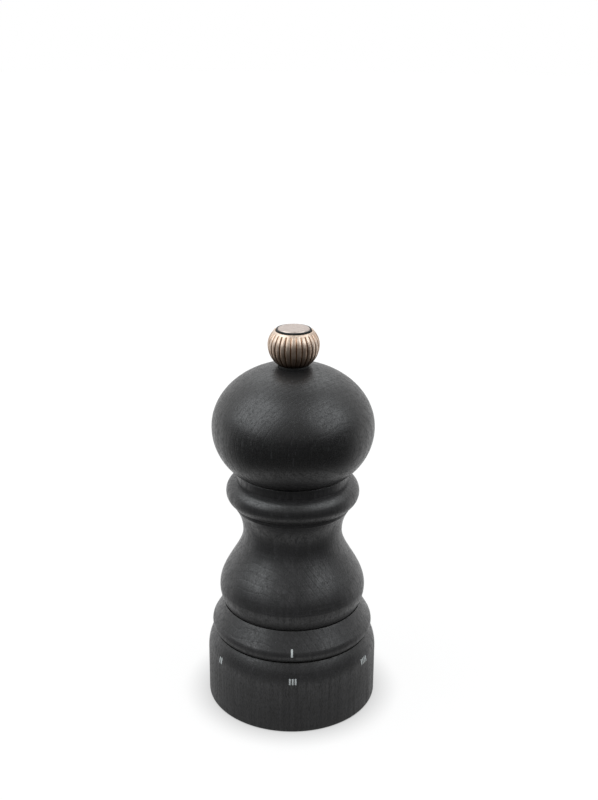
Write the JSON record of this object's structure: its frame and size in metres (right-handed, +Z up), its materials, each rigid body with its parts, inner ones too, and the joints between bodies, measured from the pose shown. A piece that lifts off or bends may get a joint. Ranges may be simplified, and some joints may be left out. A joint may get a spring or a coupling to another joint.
{
  "type": "pepper mill",
  "caption": "Turned dark wood pepper mill: round head on a waisted body turns a toothed grinder, base ring sets the grind, fluted metal knob holds the head.",
  "frame": {"origin": "centre of the mill's underside on the table", "axes": "+Z up along the mill's axis, -Y towards the viewer of the picture"},
  "size_m": [0.053, 0.0528, 0.12],
  "materials": {
    "stained_wood": "graphite-stained beech, matt lacquer",
    "bronze": "aged bronze plating, darker in the flutes",
    "bronze_disc": "satin bronze plating",
    "brass": "plain brass",
    "fibre": "black fibre",
    "moulded_plastic": "moulded black plastic",
    "bush_plastic": "natural acetal",
    "bright_steel": "zinc-plated steel",
    "hard_steel": "case-hardened steel",
    "spring_steel": "spring steel"
  },
  "bodies": {
    "mill_body": {"turned_body": "stained_wood", "mechanism_housing": "moulded_plastic", "housing_screws": "bright_steel", "upper_bridge": "bright_steel", "shaft_bush": "bush_plastic", "grinding_stator": "hard_steel", "stator_retaining_ring": "spring_steel", "ring_retainer": "spring_steel", "click_spring": "spring_steel"},
    "drive": {"drive_shaft": "bright_steel", "shaft_clips": "spring_steel", "spring_washer": "bright_steel", "rotor_spring": "spring_steel"},
    "head": {"turned_head": "stained_wood", "head_drive_plate": "bright_steel", "drive_plate_screws": "bright_steel"},
    "knob_seat": {"knob_washer": "fibre"},
    "knob_nut": {"knob": "bronze", "knob_disc": "bronze_disc", "knob_thread_insert": "brass"},
    "selector": {"adjusting_ring": "stained_wood", "ring_liner": "moulded_plastic"},
    "adjuster": {"adjuster_spider": "moulded_plastic", "thrust_washer": "bright_steel"},
    "rotor": {"grinding_rotor": "hard_steel"}
  },
  "joints": [
    {"name": "grind_turn", "type": "hinge", "parent": "mill_body", "child": "drive", "pos_m": [0, 0, 0.05], "axis": [0, 0, 1], "continuous": true},
    {"name": "head_lift", "type": "slide", "parent": "drive", "child": "head", "axis": [0, 0, 1], "range_m": [0, 0.055]},
    {"name": "knob_rise", "type": "slide", "parent": "head", "child": "knob_seat", "axis": [0, 0, 1], "range_m": [0, 0.008]},
    {"name": "knob_unscrew", "type": "hinge", "parent": "knob_seat", "child": "knob_nut", "pos_m": [0, 0, 0.115], "axis": [0, 0, 1], "range_deg": [0, 2880]},
    {"name": "adjust_turn", "type": "hinge", "parent": "mill_body", "child": "selector", "pos_m": [0, 0, 0.011], "axis": [0, 0, 1], "range_deg": [-171, 114], "deforming": ["click_spring"]},
    {"name": "spider_lift", "type": "slide", "parent": "selector", "child": "adjuster", "axis": [0, 0, 1], "range_m": [-0.00086, 0.00057]},
    {"name": "rotor_lift", "type": "slide", "parent": "drive", "child": "rotor", "axis": [0, 0, 1], "range_m": [-0.00086, 0.00057], "deforming": ["rotor_spring"]}
  ],
  "couplings": [
    {"joint": "knob_rise", "follows": "knob_unscrew", "m_per_rad": 0.00015915},
    {"joint": "spider_lift", "follows": "adjust_turn", "m_per_rad": 0.00028648},
    {"joint": "rotor_lift", "follows": "adjust_turn", "m_per_rad": 0.00028648}
  ]
}
